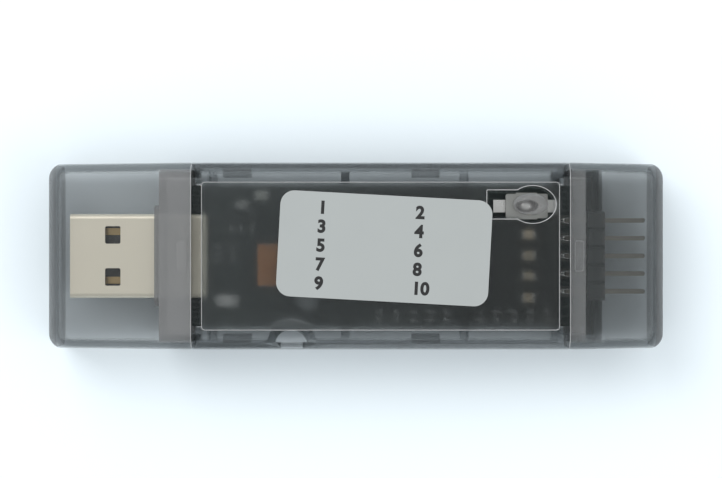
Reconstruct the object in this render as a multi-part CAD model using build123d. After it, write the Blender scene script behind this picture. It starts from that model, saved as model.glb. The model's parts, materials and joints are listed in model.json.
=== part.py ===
from build123d import *
import os

# A stick-shaped USB programmer for microcontrollers, in a smoked clear case.
# It lies on its back with the label up.  +X runs from the USB plug to the target pins,
# +Z points out of the label, and the origin is the middle of the underside.  All in mm.

# ---------------------------------------------------------------- the case
case_width = 26.6          # across the stick
case_height = 12.0         # underside to label side
case_edge_radius = 2.8     # the four long edges
case_wall = 1.2            # long walls, top and bottom
body_length = 53.8         # the fixed middle of the case
usb_cap_length = 19.95
header_cap_length = 13.0
rim_gap = 0.05             # a closed cap's rim to the shoulder of the body
rim_break = 0.15           # the small bevel on rims and shoulders

# ---------------------------------------------------------------- the caps
cap_wall = 0.9             # round the collar
cap_clearance = 0.1        # collar to cap
cap_end_wall = 1.0
cap_mouth_spare = 0.5      # the wide part of the mouth past the collar's end
cap_draft = 0.25           # how much the side of a cap draws in by its end
cap_step = 0.2             # the deep part of a cap is narrower than its mouth
cap_corner_radius = 2.25   # the end's corners, seen from above
cap_end_radius = 0.4       # round the edge of the end face

# ---------------------------------------------------------------- the collars
collar_length = 4.5
collar_wall = 1.1
collar_front_wall = 1.1
shoulder_wall = 1.2        # from the shoulder to the wide part of the cavity
detent_from_shoulder = 1.28
detent_size = (1.3, 4.3)
detent_height = 0.07       # less than the clearance, so the cap passes it
detent_pocket = (0.1, 0.25)    # margin round the detent, depth

# ---------------------------------------------------------------- the panel and port
panel_inset = 1.55         # from each end of the body
panel_depth = 0.15
port_from_end = 5.4        # the oval's centre, from the pin end of the body
port_from_board_side = 2.8
port_radii = (2.95, 2.3)
port_slot_length = 6.1     # from the oval's centre to the slot's end
port_slot_width = 3.36
port_bevel = 0.35

# ---------------------------------------------------------------- the lanyard eye
eye_from_end = 14.2        # from the USB end of the body
eye_radius = 2.36
eye_centre_depth = 0.5     # the round's centre, in from the side of the case
eye_bar = 0.9              # the bar that a cord goes round
eye_wall = 1.2
eye_floor = 1.6            # thickness of plastic under the well
eye_window_width = 3.2     # in the side, under the bar
eye_window_drop = 3.8      # the window's bottom below the seam
eye_window_rise = 0.8      # and its top above it
eye_board_clearance = 0.35

# ---------------------------------------------------------------- how the halves join
lip_thickness = 0.5
lip_height = 0.8
lip_end_gap = 0.3
join_clearance = 0.05
usb_hook = 6.4             # from the USB end of the body
pin_hook = 20.4            # from the pin end of the body
hook_length = 4.0
hook_thickness = 0.75
hook_gap = 0.1
hook_drop = 3.0            # how far below the seam a hook leaves the side wall
hook_rise = 2.2            # how far it stands above the seam
barb_rise = (1.2, 2.0)     # the barb's bottom and top above the seam
barb_reach = 0.45
seam_bevel = 0.12

# ---------------------------------------------------------------- the circuit board
board_inset = 2.0          # from the inside of the long walls
board_thickness = 1.6
board_from_usb_collar = 4.35
board_from_pin_collar = 1.9
board_corner_radius = 0.4
board_side_gap = 0.1
usb_ribs = (2.9, 21.9)     # from the USB end of the body
pin_ribs = (14.9, 1.8)     # from the pin end of the body
rib_thickness = 1.2
rib_bearing = 1.1          # how far a rib reaches over the board's edge
usb_post = (16.5, -6.3)    # from the USB end of the body, and across
pin_post = (17.4, 6.6)     # from the pin end of the body, and across
post_radius = 1.4
post_foot_radius = 2.2
post_rise = 3.0            # above the seam
boss_radius = 2.4
boss_spare_depth = 0.3
board_hole_clearance = 0.1
root = 0.1                 # how far a rib or boss is sunk into its wall

# ---------------------------------------------------------------- the USB plug
plug_width = 12.0
plug_height = 4.5
plug_length = 19.5
plug_reach = 12.9          # in front of its collar
plug_sheet = 0.3
plug_corner_radius = 0.7
plug_window = (2.2, 2.5)
plug_window_corner = 0.25
plug_window_from_tip = 6.1
plug_window_spacing = 6.0
plug_slot_clearance = 0.1
tongue_thickness = 1.84
tongue_side_gap = 0.1
tongue_setback = 0.4
tongue_bevel = 0.2
moulding_clearance = 0.02   # the insulator to the top and bottom of its shell
insulator_rear_length = 4.0
contact_offsets = (-3.5, -1.0, 1.0, 3.5)
contact_width = 1.0
contact_thickness = 0.25
contact_setback = 1.2
contact_tail_length = 2.1
nose_length = 0.8          # the rim round the plug in front of the collar
nose_margin = 1.2
plug_clearance = 0.1

# ---------------------------------------------------------------- the target pins
pin_count = 5              # in each of two rows
pin_pitch = 2.54
pin_size = 0.64
pin_reach = 5.8            # in front of the block
pin_tail = 3.3             # behind the block
pin_point = 0.18
block_depth = 2.45
block_from_board = 0.1
block_notch = 0.45
block_clearance = 0.1

# ---------------------------------------------------------------- the push button
switch_from_port = (-0.6, -0.17)
switch_size = (6.0, 3.5, 1.3)
switch_well = (2.1, 1.45, 0.9)     # half length, half width, depth
switch_corner = 0.3
cover_thickness = 0.2
cover_hole = (1.7, 0.95)
cover_clip = (3.0, 0.15, 0.8)
terminal_size = (1.7, 1.8, 0.15)
terminal_rise = 0.7
dome_radius = 1.25
dome_height = 0.45
dome_sheet = 0.1
button_offset = (0.45, 0.2)
button_radii = (2.5, 1.55)
button_recess = 0.5        # from the panel down to the button
button_cap_gap = 0.35      # cap to cover; more than the travel
button_edge_radius = 0.55
button_stem = (1.6, 0.85)
button_flange = (1.95, 1.25)
button_play = 0.02

# ---------------------------------------------------------------- the label
label_size = (30.0, 15.0)
label_corner_radius = 2.0
label_thickness = 0.12
label_centre = (4.0, 1.1)
label_tilt = -3.1          # degrees; it was stuck on a little askew

# ---------------------------------------------------------------- parts on the board
# The first of each pair is measured from the middle of the body, from its USB end or
# from its pin end, as the name says; the second is measured from the board's centreline.
controller_from_middle = (0.7, 1.6)
controller_size = (7.0, 7.0, 1.4)
controller_leads = (12, 0.5)    # a side, pitch
controller_lead = (1.0, 0.7, 0.22)   # reach, height of the bend, width
buffer_from_middle = (12.1, -1.6)
buffer_size = (4.4, 6.5, 1.0)
buffer_leads = (10, 0.65)
buffer_lead = (0.95, 0.55, 0.25)
memory_from_middle = (-5.5, 0.0)
memory_size = (4.9, 3.9, 1.5)
memory_leads = (4, 1.27)
memory_lead = (1.05, 0.7, 0.42)
crystal_from_middle = (-6.9, 4.4)
crystal_size = (3.2, 2.5, 0.45)
crystal_lid = (2.8, 2.1, 0.3)
lid_corner = 0.4
regulator_from_usb = (7.0, 5.6)
regulator_size = (4.5, 2.5, 1.5)
regulator_leads_row = (3, 1.5)
regulator_lead = (0.9, 0.6, 0.45)
regulator_tab = (1.0, 0.6, 1.8)
surge_from_usb = (4.8, 0.3)
surge_size = (1.6, 2.9, 1.1)
surge_leads = (3, 0.95)
surge_lead = (0.65, 0.55, 0.4)
tantalum_from_usb = (11.0, -1.3)
tantalum_size = (3.2, 6.0, 2.5)
tantalum_terminal = (1.1, 1.25, 1.2)   # half width, rise, length under the body
fuse_from_usb = (5.0, -6.4)
fuse_size = (3.2, 1.6, 0.8)
fuse_end = 0.5
led_from_usb = 9.9
led_size = (2.0, 1.25, 0.4)
led_end = 0.35
led_lens = (1.2, 1.15, 0.5)
filters_from_pins = 5.7
filter_rows = (3.1, 0.1, -2.9, -6.0)
filter_size = (2.0, 1.25, 0.9)
filter_end = 0.4
edge_part_inset = 1.5      # the parts along the board's sides, from the edge
edge_row_from_pins = 3.0   # the last of the row, from the pin end
edge_row_pitch = 2.4
edge_row_count = 11
edge_size = (0.85, 1.6, 0.5)
small_end = 0.35
decoupling_from_middle = ((-4.1, -4.6), (-1.7, -4.6), (0.7, -4.6), (3.1, -4.6), (6.1, 4.2), (6.1, 1.8))
decoupling_size = (0.85, 1.6, 0.8)
underside_from_middle = ((2.5, -3.0), (2.5, -1.0), (2.5, 1.0), (2.5, 3.0), (10.5, -2.0), (10.5, 2.0))
underside_size = (1.6, 0.85, 0.5)
chip_standoff = 0.1
chip_bevel = 0.15
core_step = 0.06           # a chip component's core is this much thinner than its ends
lead_sheet = 0.15

# ---------------------------------------------------------------- worked out from the above
overall_length = usb_cap_length + rim_gap + body_length + rim_gap + header_cap_length
end_x = overall_length / 2
body_x0 = -end_x + usb_cap_length + rim_gap
body_x1 = body_x0 + body_length
half_width = case_width / 2
mid_z = case_height / 2
cavity_half = half_width - case_wall
body_middle = (body_x0 + body_x1) / 2
collar_x0 = body_x0 - collar_length
collar_x1 = body_x1 + collar_length
collar_inset = cap_wall + cap_clearance
collar_width = case_width - 2 * collar_inset
collar_height = case_height - 2 * collar_inset
collar_radius = case_edge_radius - collar_inset
board_z0 = mid_z - board_thickness / 2
board_z1 = mid_z + board_thickness / 2
board_half = cavity_half - board_inset
board_start = collar_x0 + board_from_usb_collar
board_end = collar_x1 - board_from_pin_collar
plug_start = collar_x0 - plug_reach
block_start = board_end + block_from_board
panel_z = case_height - panel_depth
port_centre = (body_x1 - port_from_end, board_half - port_from_board_side)
switch_centre = (port_centre[0] + switch_from_port[0], port_centre[1] + switch_from_port[1])
eye_centre_x = body_x0 + eye_from_end
eye_centre_y = -half_width + eye_centre_depth
rib_positions = [body_x0 + x for x in usb_ribs] + [body_x1 - x for x in pin_ribs]
hook_positions = [body_x0 + usb_hook, body_x1 - pin_hook]
post_positions = [(body_x0 + usb_post[0], usb_post[1]), (body_x1 - pin_post[0], pin_post[1])]
reach = 200.0              # longer than anything here, for cutting tools


def from_middle(place):
    """A place on the board given from the middle of the body."""
    return (body_middle + place[0], place[1])


def from_usb(place):
    """A place on the board given from the USB end of the body."""
    return (body_x0 + place[0], place[1])


controller_centre = from_middle(controller_from_middle)
buffer_centre = from_middle(buffer_from_middle)
memory_centre = from_middle(memory_from_middle)
crystal_centre = from_middle(crystal_from_middle)
regulator_centre = from_usb(regulator_from_usb)
surge_centre = from_usb(surge_from_usb)
tantalum_centre = from_usb(tantalum_from_usb)
fuse_centre = from_usb(fuse_from_usb)
led_centre = from_usb((led_from_usb, board_half - edge_part_inset))
filter_places = [(body_x1 - filters_from_pins, y) for y in filter_rows]
edge_row_end = body_x1 - edge_row_from_pins
edge_row_clear = (rib_thickness + edge_size[0]) / 2
edge_row = [(edge_row_end - i * edge_row_pitch, edge_part_inset - board_half) for i in range(edge_row_count)]
edge_row = [spot for spot in edge_row if min(abs(spot[0] - x) for x in rib_positions) > edge_row_clear]


def block(x0, x1, y0, y1, z0, z1):
    """A box from corner to corner."""
    middle = Pos((x0 + x1) / 2, (y0 + y1) / 2, (z0 + z1) / 2)
    return middle * Box(x1 - x0, y1 - y0, z1 - z0)


def section(x, width, height, radius):
    """A rounded rectangle across the stick at x, centred on the stick's own middle."""
    across = Plane(origin=(x, 0, mid_z), x_dir=(0, 1, 0), z_dir=(1, 0, 0))
    return across * RectangleRounded(width, height, radius)


def bar(x0, x1, width, height, radius):
    """A bar along the stick with a rounded rectangle for its section."""
    return extrude(section(x0, width, height, radius), x1 - x0)


def post(x, y, z0, z1, radius):
    """An upright round post."""
    return Pos(x, y, (z0 + z1) / 2) * Cylinder(radius, z1 - z0)


def oval(x, y, z0, z1, half_length, half_wide):
    """An upright elliptical post."""
    return extrude(Pos(x, y, z0) * Ellipse(half_length, half_wide), z1 - z0)


# ================================================================ the case body
def eye_hole():
    """The lanyard eye: a half-round well in the label side, and a window in the side under its bar."""
    well = post(eye_centre_x, eye_centre_y, eye_floor, case_height + 1, eye_radius)
    bar_y = -half_width + eye_bar
    well = well & block(-reach, reach, bar_y, reach, 0, case_height + 1)
    x0, x1 = eye_centre_x - eye_window_width / 2, eye_centre_x + eye_window_width / 2
    low, high = mid_z - eye_window_drop, mid_z + eye_window_rise
    return well + block(x0, x1, -half_width - 1, bar_y + eye_bar, low, high)


def body_blank():
    """Both halves of the body as one: walls, shoulders, collars and the eye's wall."""
    outside = bar(body_x0, body_x1, case_width, case_height, case_edge_radius)
    shoulders = outside.faces().filter_by(Axis.X).edges()
    outside = chamfer(shoulders, rim_break)
    collars = bar(collar_x0, collar_x1, collar_width, collar_height, collar_radius)
    nose = bar(
        collar_x0 - nose_length,
        collar_x0 + collar_front_wall,
        plug_width + 2 * nose_margin,
        plug_height + 2 * nose_margin,
        plug_corner_radius + nose_margin,
    )
    wide = bar(
        body_x0 + shoulder_wall,
        body_x1 - shoulder_wall,
        2 * cavity_half,
        case_height - 2 * case_wall,
        case_edge_radius - case_wall,
    )
    narrow = bar(
        collar_x0 + collar_front_wall,
        collar_x1 - collar_front_wall,
        collar_width - 2 * collar_wall,
        collar_height - 2 * collar_wall,
        collar_radius - collar_wall,
    )
    eye = post(eye_centre_x, eye_centre_y, 0, case_height, eye_radius + eye_wall)
    return outside + collars + nose - wide - narrow + (eye & outside) - eye_hole()


def plug_opening():
    """The way out for the USB plug."""
    width = plug_width + 2 * plug_clearance
    height = plug_height + 2 * plug_clearance
    radius = plug_corner_radius + plug_clearance
    return bar(collar_x0 - nose_length - 1, collar_x0 + collar_front_wall + 1, width, height, radius)


def block_opening():
    """The way out for the pin block."""
    half_y = pin_count * pin_pitch / 2 + block_clearance
    half_z = pin_pitch + block_clearance
    return block(
        collar_x1 - collar_front_wall - 1, collar_x1 + 1, -half_y, half_y, mid_z - half_z, mid_z + half_z
    )


def detents(z, thickness, margin=0.0):
    """The small rectangles that click into the caps, on one face of both collars."""
    made = []
    for x in (body_x0 - detent_from_shoulder, body_x1 + detent_from_shoulder):
        pad = Box(detent_size[0] + 2 * margin, detent_size[1] + 2 * margin, thickness)
        made.append(Pos(x, 0, z) * pad)
    return made


def side_ribs(z_far, z_bearing):
    """Ribs from the side walls that grip the board's edge, from the wall at z_far to the board."""
    ribs = []
    into_wall = cavity_half + root
    for x in rib_positions:
        for side in (-1, 1):
            bearing = sorted((side * (board_half - rib_bearing), side * into_wall))
            guide = sorted((side * (board_half + board_side_gap), side * into_wall))
            low, high = sorted((z_far, z_bearing))
            ribs.append(block(x - rib_thickness / 2, x + rib_thickness / 2, *bearing, low, high))
            low, high = sorted((z_far, mid_z))
            ribs.append(block(x - rib_thickness / 2, x + rib_thickness / 2, *guide, low, high))
    return ribs


def lip_spans():
    """The stretches of side wall that have a lip, as (side, x0, x1)."""
    x0 = body_x0 + shoulder_wall + lip_end_gap
    x1 = body_x1 - shoulder_wall - lip_end_gap
    eye_reach = eye_radius + eye_wall + lip_end_gap
    eye_x0, eye_x1 = eye_centre_x - eye_reach, eye_centre_x + eye_reach
    return [(1, x0, x1), (-1, x0, eye_x0), (-1, eye_x1, x1)]


def lips(clearance, drop):
    """The lip along the inner edge of the side walls; with a clearance, the rebate it enters."""
    made = []
    for side, x0, x1 in lip_spans():
        y0, y1 = sorted((side * (cavity_half - clearance), side * (cavity_half + lip_thickness + clearance)))
        top = mid_z + lip_height + clearance
        made.append(block(x0 - clearance, x1 + clearance, y0, y1, mid_z - drop, top))
    return made


def hook(x, side):
    """A snap hook that rises from the lower half's side wall."""
    low, high = mid_z + barb_rise[0], mid_z + barb_rise[1]
    outer = cavity_half - hook_gap
    inner = outer - hook_thickness
    half = hook_length / 2
    y0, y1 = sorted((side * inner, side * outer))
    arm = block(x - half, x + half, y0, y1, mid_z - hook_drop, mid_z + hook_rise)
    y0, y1 = sorted((side * inner, side * (cavity_half + root)))
    foot = block(x - half, x + half, y0, y1, mid_z - hook_drop, mid_z - hook_gap)
    profile = Polyline(
        (side * (outer - root), low),
        (side * (outer + barb_reach), low),
        (side * (outer - root), high),
        close=True,
    )
    across = Plane(origin=(x - half, 0, 0), x_dir=(0, 1, 0), z_dir=(1, 0, 0))
    return arm + foot + extrude(across * make_face(profile), hook_length)


def hook_pockets():
    """The pockets in the upper half that the barbs enter."""
    low, high = mid_z + barb_rise[0] - hook_gap, mid_z + barb_rise[1] + hook_gap
    half = hook_length / 2 + join_clearance
    made = []
    for x in hook_positions:
        for side in (-1, 1):
            y0, y1 = sorted((side * (cavity_half - hook_gap), side * (cavity_half + barb_reach)))
            made.append(block(x - half, x + half, y0, y1, low, high))
    return made


def seam_groove():
    """A fine V round the outside where the two halves meet."""
    tools = []
    for side in (-1, 1):
        y = side * half_width
        diamond = Polyline(
            (y - seam_bevel, mid_z),
            (y, mid_z + seam_bevel),
            (y + seam_bevel, mid_z),
            (y, mid_z - seam_bevel),
            close=True,
        )
        across = Plane(origin=(body_x0 - 1, 0, 0), x_dir=(0, 1, 0), z_dir=(1, 0, 0))
        tools.append(extrude(across * make_face(diamond), body_length + 2))
    return tools


def key_port():
    """The opening over the push button: an oval with a slot running off it, bevelled outside."""
    x, y = port_centre
    half = port_slot_width / 2

    def outline(z, grow):
        slot = Pos(x - (port_slot_length + grow) / 2, y, z)
        slot = slot * Rectangle(port_slot_length + grow, 2 * (half + grow))
        return slot + Pos(x, y, z) * Ellipse(port_radii[0] + grow, port_radii[1] + grow)

    through = extrude(outline(case_height - 2 * case_wall, 0), 2 * case_wall + 1)
    bevel = loft([outline(panel_z - port_bevel, 0).faces()[0], outline(panel_z, port_bevel).faces()[0]])
    return through + bevel


def body_halves():
    """The upper and lower shells of the body."""
    blank = body_blank() - plug_opening() - block_opening()
    blank = blank.cut(*seam_groove())
    above = block(-reach, reach, -reach, reach, mid_z, reach)
    below = block(-reach, reach, -reach, reach, -reach, mid_z)

    upper = blank & above
    upper = upper.fuse(*side_ribs(case_height - case_wall + root, board_z1))
    for x, y in post_positions:
        boss = post(x, y, board_z1, case_height - case_wall + root, boss_radius)
        bore_top = mid_z + post_rise + boss_spare_depth
        bore = post(x, y, board_z1 - 1, bore_top, post_radius + join_clearance)
        upper = upper + boss - bore
    upper = upper.cut(*lips(join_clearance, 1.0), *hook_pockets())
    panel_half = half_width - case_edge_radius
    panel_x0, panel_x1 = body_x0 + panel_inset, body_x1 - panel_inset
    panel = block(panel_x0, panel_x1, -panel_half, panel_half, panel_z, case_height + 1)
    upper = upper - panel - key_port()
    upper = upper.fuse(*detents(case_height - collar_inset, 2 * detent_height))

    lower = blank & below
    lower = lower.fuse(*side_ribs(case_wall - root, board_z0))
    lower = lower.fuse(*lips(0.0, root))
    lower = lower.fuse(*[hook(x, side) for x in hook_positions for side in (-1, 1)])
    for x, y in post_positions:
        foot = post(x, y, case_wall - root, board_z0, post_foot_radius)
        lower = lower + foot + post(x, y, board_z0 - root, mid_z + post_rise, post_radius)
    lower = lower.fuse(*detents(collar_inset, 2 * detent_height))
    return upper, lower


# ================================================================ the caps
def cap(length):
    """A slip-on cap, with its mouth at x = 0 and its end at x = length."""
    end_width = case_width - 2 * cap_draft
    end_height = case_height - 2 * cap_draft
    mouth_face = section(0, case_width, case_height, case_edge_radius)
    end_face = section(length, end_width, end_height, case_edge_radius - cap_draft)
    outside = loft([mouth_face, end_face], ruled=True)
    plan = Pos(length / 2, 0, mid_z) * Box(length, case_width, case_height)
    corners = plan.edges().filter_by(Axis.Z).group_by(Axis.X)[-1]
    outside = outside & fillet(corners, cap_corner_radius)
    outside = fillet(outside.faces().sort_by(Axis.X)[-1].edges(), cap_end_radius)
    outside = chamfer(outside.faces().sort_by(Axis.X)[0].edges(), rim_break)

    mouth_depth = collar_length + rim_gap + cap_mouth_spare
    mouth_width = case_width - 2 * cap_wall
    mouth_height = case_height - 2 * cap_wall
    mouth_radius = case_edge_radius - cap_wall
    mouth = bar(-1, mouth_depth, mouth_width, mouth_height, mouth_radius)
    deep_end = length - cap_end_wall
    step = 2 * cap_step
    start = section(mouth_depth - root, mouth_width - step, mouth_height - step, mouth_radius - cap_step)
    inset = 2 * (cap_end_wall + cap_draft)
    end_radius = case_edge_radius - inset / 2
    finish = section(deep_end, case_width - inset, case_height - inset, end_radius)
    deep = loft([start, finish], ruled=True)
    inner_plan = Pos(deep_end / 2, 0, mid_z) * Box(deep_end, case_width - inset, case_height)
    corners = inner_plan.edges().filter_by(Axis.Z).group_by(Axis.X)[-1]
    wide_plan = fillet(corners, cap_corner_radius - cap_end_wall)
    straight = deep_end - 2 * cap_corner_radius
    wide_plan = wide_plan + block(-1, straight, -half_width, half_width, 0, case_height)
    return outside - mouth - (deep & wide_plan)


def cap_pockets(x):
    """The two pockets inside a cap that its detents click into."""
    margin, depth = detent_pocket
    made = []
    for z in (cap_wall - depth / 2, case_height - cap_wall + depth / 2):
        pad = Box(detent_size[0] + 2 * margin, detent_size[1] + 2 * margin, depth)
        made.append(Pos(x, 0, z) * pad)
    return made


def usb_cap():
    """The long cap over the USB plug."""
    turned = Pos(body_x0 - rim_gap, 0, 0) * Rot(0, 0, 180) * cap(usb_cap_length)
    return turned.cut(*cap_pockets(body_x0 - detent_from_shoulder))


def header_cap():
    """The short cap over the target pins."""
    placed = Pos(body_x1 + rim_gap, 0, 0) * cap(header_cap_length)
    return placed.cut(*cap_pockets(body_x1 + detent_from_shoulder))


# ================================================================ the connectors
def usb_plug_shell():
    """The folded steel shell, with its four windows and the slots that take the board."""
    end = plug_start + plug_length
    outside = bar(plug_start, end, plug_width, plug_height, plug_corner_radius)
    inner_width = plug_width - 2 * plug_sheet
    inner_height = plug_height - 2 * plug_sheet
    inside = bar(plug_start - 1, end + 1, inner_width, inner_height, plug_corner_radius - plug_sheet)
    windows = []
    for side in (-1, 1):
        x = plug_start + plug_window_from_tip
        y = side * plug_window_spacing / 2
        window = Pos(x, y, mid_z) * Box(*plug_window, plug_height + 2)
        windows.append(fillet(window.edges().filter_by(Axis.Z), plug_window_corner))
    gap = plug_slot_clearance
    slots = block(board_start - gap, end + 1, -plug_width, plug_width, board_z0 - gap, board_z1 + gap)
    return (outside - inside).cut(*windows, slots)


def usb_insulator():
    """The moulding inside the plug: the tongue and the block behind it."""
    floor = mid_z - plug_height / 2 + plug_sheet + moulding_clearance
    half_y = plug_width / 2 - plug_sheet - tongue_side_gap
    rear = board_start - plug_slot_clearance
    tongue = block(plug_start + tongue_setback, rear, -half_y, half_y, floor, floor + tongue_thickness)
    top = mid_z + plug_height / 2 - plug_sheet - moulding_clearance
    back = block(rear - insulator_rear_length, rear, -half_y, half_y, floor, top)
    moulding = chamfer((tongue + back).edges().filter_by(Axis.X), tongue_bevel)
    return moulding.cut(*usb_contacts())


def usb_contacts():
    """Four contacts: along the tongue, up through the block and out to the board."""
    face = mid_z - plug_height / 2 + plug_sheet + moulding_clearance + tongue_thickness
    rear = board_start - plug_slot_clearance
    made = []
    for y in contact_offsets:
        y0, y1 = y - contact_width / 2, y + contact_width / 2
        blade = block(plug_start + contact_setback, rear, y0, y1, face, face + contact_thickness)
        riser = block(rear - contact_thickness, rear, y0, y1, face, board_z1 + contact_thickness)
        tail_end = board_start + contact_tail_length
        tail = block(rear - contact_thickness, tail_end, y0, y1, board_z1, board_z1 + contact_thickness)
        made.append(blade + riser + tail)
    return made


def pin_block():
    """The black block of the target connector, notched between its pins."""
    half_y = pin_count * pin_pitch / 2
    block_end = block_start + block_depth
    body = block(block_start, block_end, -half_y, half_y, mid_z - pin_pitch, mid_z + pin_pitch)
    notches = header_pins(mid_z + pin_pitch / 2) + header_pins(mid_z - pin_pitch / 2)
    for index in range(pin_count + 1):
        y = -half_y + index * pin_pitch
        for z in (mid_z - pin_pitch, mid_z + pin_pitch):
            v_cut = Pos(block_start + block_depth / 2, y, z) * Rot(45, 0, 0)
            notches.append(v_cut * Box(block_depth + 1, block_notch, block_notch))
    return body.cut(*notches)


def header_pins(z):
    """One row of square pins with pointed ends."""
    start = block_start - pin_tail
    end = block_start + block_depth + pin_reach
    half = pin_size / 2
    row = []
    for index in range(pin_count):
        y = (index - (pin_count - 1) / 2) * pin_pitch
        pin = block(start, end, y - half, y + half, z - half, z + half)
        tips = pin.faces().filter_by(Axis.X).edges()
        row.append(chamfer(tips, pin_point))
    return row


# ================================================================ the push button
def switch_base():
    """The switch's moulded base, with a well for the snap dome."""
    x, y = switch_centre
    length, width, height = switch_size
    body = block(x - length / 2, x + length / 2, y - width / 2, y + width / 2, board_z1, board_z1 + height)
    body = chamfer(body.edges().filter_by(Axis.Z), switch_corner)
    top = board_z1 + height
    return body - oval(x, y, top - switch_well[2], top + 1, switch_well[0], switch_well[1])


def switch_cover():
    """The sheet cover, with a hole for the stem and two clips down the sides."""
    x, y = switch_centre
    length, width, height = switch_size
    low = board_z1 + height
    high = low + cover_thickness
    sheet = block(x - length / 2, x + length / 2, y - width / 2, y + width / 2, low, high)
    sheet = fillet(sheet.edges().filter_by(Axis.Z), switch_corner)
    clip_length, clip_sheet, clip_drop = cover_clip
    for side in (-1, 1):
        y0, y1 = sorted((y + side * width / 2, y + side * (width / 2 + clip_sheet)))
        sheet = sheet + block(x - clip_length / 2, x + clip_length / 2, y0, y1, low - clip_drop, high)
    return sheet - oval(x, y, low - 1, high + 1, *cover_hole)


def switch_terminals():
    """The two soldered feet at the ends of the switch."""
    x, y = switch_centre
    length, width, sheet = terminal_size
    made = []
    for side in (-1, 1):
        wall = x + side * switch_size[0] / 2
        x0, x1 = sorted((wall, wall + side * length))
        foot = block(x0, x1, y - width / 2, y + width / 2, board_z1, board_z1 + sheet)
        x0, x1 = sorted((wall, wall + side * sheet))
        made.append(foot + block(x0, x1, y - width / 2, y + width / 2, board_z1, board_z1 + terminal_rise))
    return made


def switch_dome():
    """The steel snap dome on the floor of the well."""
    x, y = switch_centre
    floor = board_z1 + switch_size[2] - switch_well[2]
    ball = (dome_radius**2 + dome_height**2) / (2 * dome_height)
    centre = Pos(x, y, floor + dome_height - ball)
    shell = centre * Sphere(ball) - centre * Sphere(ball - dome_sheet)
    return shell & block(x - ball, x + ball, y - ball, y + ball, floor, floor + ball)


def button():
    """The clear button: a pebble outside, a stem through the cover and a flange under it."""
    x, y = switch_centre
    cover_low = board_z1 + switch_size[2]
    cover_top = cover_low + cover_thickness
    dome_top = cover_low - switch_well[2] + dome_height
    cap_low = cover_top + button_cap_gap
    cap_x, cap_y = x + button_offset[0], y + button_offset[1]
    pebble = oval(cap_x, cap_y, cap_low, panel_z - button_recess, *button_radii)
    pebble = fillet(pebble.faces().sort_by(Axis.Z)[-1].edges(), button_edge_radius)
    stem = oval(x, y, dome_top + button_play, cap_low + root, *button_stem)
    flange = oval(x, y, dome_top + button_play, cover_low - button_play, *button_flange)
    return pebble + stem + flange


# ================================================================ the board and its parts
def circuit_board():
    """The board, with a round bite for the lanyard eye and two holes for the posts."""
    board = block(board_start, board_end, -board_half, board_half, board_z0, board_z1)
    board = fillet(board.edges().filter_by(Axis.Z), board_corner_radius)
    bite = eye_radius + eye_wall + eye_board_clearance
    board = board - post(eye_centre_x, eye_centre_y, board_z0 - 1, board_z1 + 1, bite)
    for x, y in post_positions:
        hole = post_radius + board_hole_clearance
        board = board - post(x, y, board_z0 - 1, board_z1 + 1, hole)
    return board


def chip_body(centre, size, under=False):
    """A moulded chip body, a hair above the board."""
    length, width, height = size
    made = Pos(0, 0, (chip_standoff + height) / 2) * Box(length, width, height - chip_standoff)
    made = chamfer(made.faces().sort_by(Axis.Z)[-1].edges(), chip_bevel)
    return seat(made, centre, under)


def seat(shape, centre, under):
    """Puts a part that was made at the origin on the board, on top or underneath."""
    if under:
        return Pos(centre[0], centre[1], board_z0) * Rot(180, 0, 0) * shape
    return Pos(centre[0], centre[1], board_z1) * shape


def gull_lead(reach_out, shoulder_height, width, sheet=lead_sheet):
    """One bent lead: out of the body at x = 0, down to the board, and a flat foot."""
    knee = reach_out * 0.4
    outline = Polyline(
        (0, shoulder_height),
        (knee, shoulder_height),
        (knee + sheet, sheet),
        (reach_out, sheet),
        (reach_out, 0),
        (knee, 0),
        (knee - sheet, shoulder_height - sheet),
        (0, shoulder_height - sheet),
        close=True,
    )
    upright = Plane(origin=(0, width / 2, 0), x_dir=(1, 0, 0), z_dir=(0, -1, 0))
    return extrude(upright * make_face(outline), width)


def lead_row(centre, half_body, angle, count, pitch, lead, under=False):
    """A row of leads along the side of a chip that faces angle."""
    made = []
    for index in range(count):
        offset = (index - (count - 1) / 2) * pitch
        turned = Rot(0, 0, angle) * Pos(half_body, offset, 0) * lead
        made.append(seat(turned, centre, under))
    return made


def controller_pins():
    """Leads on all four sides of the controller."""
    count, pitch = controller_leads
    lead = gull_lead(*controller_lead)
    made = []
    for angle in (0, 90, 180, 270):
        made += lead_row(controller_centre, controller_size[0] / 2, angle, count, pitch, lead)
    return made


def two_sided_leads(centre, half_body, count, pitch, angles, lead, under=False):
    """Leads on two opposite sides of a chip."""
    made = []
    for angle in angles:
        made += lead_row(centre, half_body, angle, count, pitch, lead, under)
    return made


def regulator_leads():
    """Three leads on one side of the regulator and its broad tab on the other."""
    half = regulator_size[1] / 2
    thin = lead_row(regulator_centre, half, 270, *regulator_leads_row, gull_lead(*regulator_lead))
    tab = lead_row(regulator_centre, half, 90, 1, 1.0, gull_lead(*regulator_tab))
    return thin + tab


def end_caps(centre, size, along_x, cap_length, under=False):
    """The two soldered ends of a chip component."""
    length, width, height = size
    made = []
    for side in (-1, 1):
        if along_x:
            end = Pos(side * (length - cap_length) / 2, 0, height / 2) * Box(cap_length, width, height)
        else:
            end = Pos(0, side * (width - cap_length) / 2, height / 2) * Box(length, cap_length, height)
        made.append(seat(end, centre, under))
    return made


def chip_core(centre, size, along_x, cap_length, under=False):
    """The middle of a chip component, between its ends."""
    length, width, height = size
    if along_x:
        core = Box(length - 2 * cap_length, width, height - core_step)
    else:
        core = Box(length, width - 2 * cap_length, height - core_step)
    return seat(Pos(0, 0, height / 2) * core, centre, under)


def row_of(places, size, along_x, cap_length, under=False):
    """A group of like chip components: their cores and their ends."""
    cores = [chip_core(place, size, along_x, cap_length, under) for place in places]
    ends = []
    for place in places:
        ends += end_caps(place, size, along_x, cap_length, under)
    return cores, ends


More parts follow.
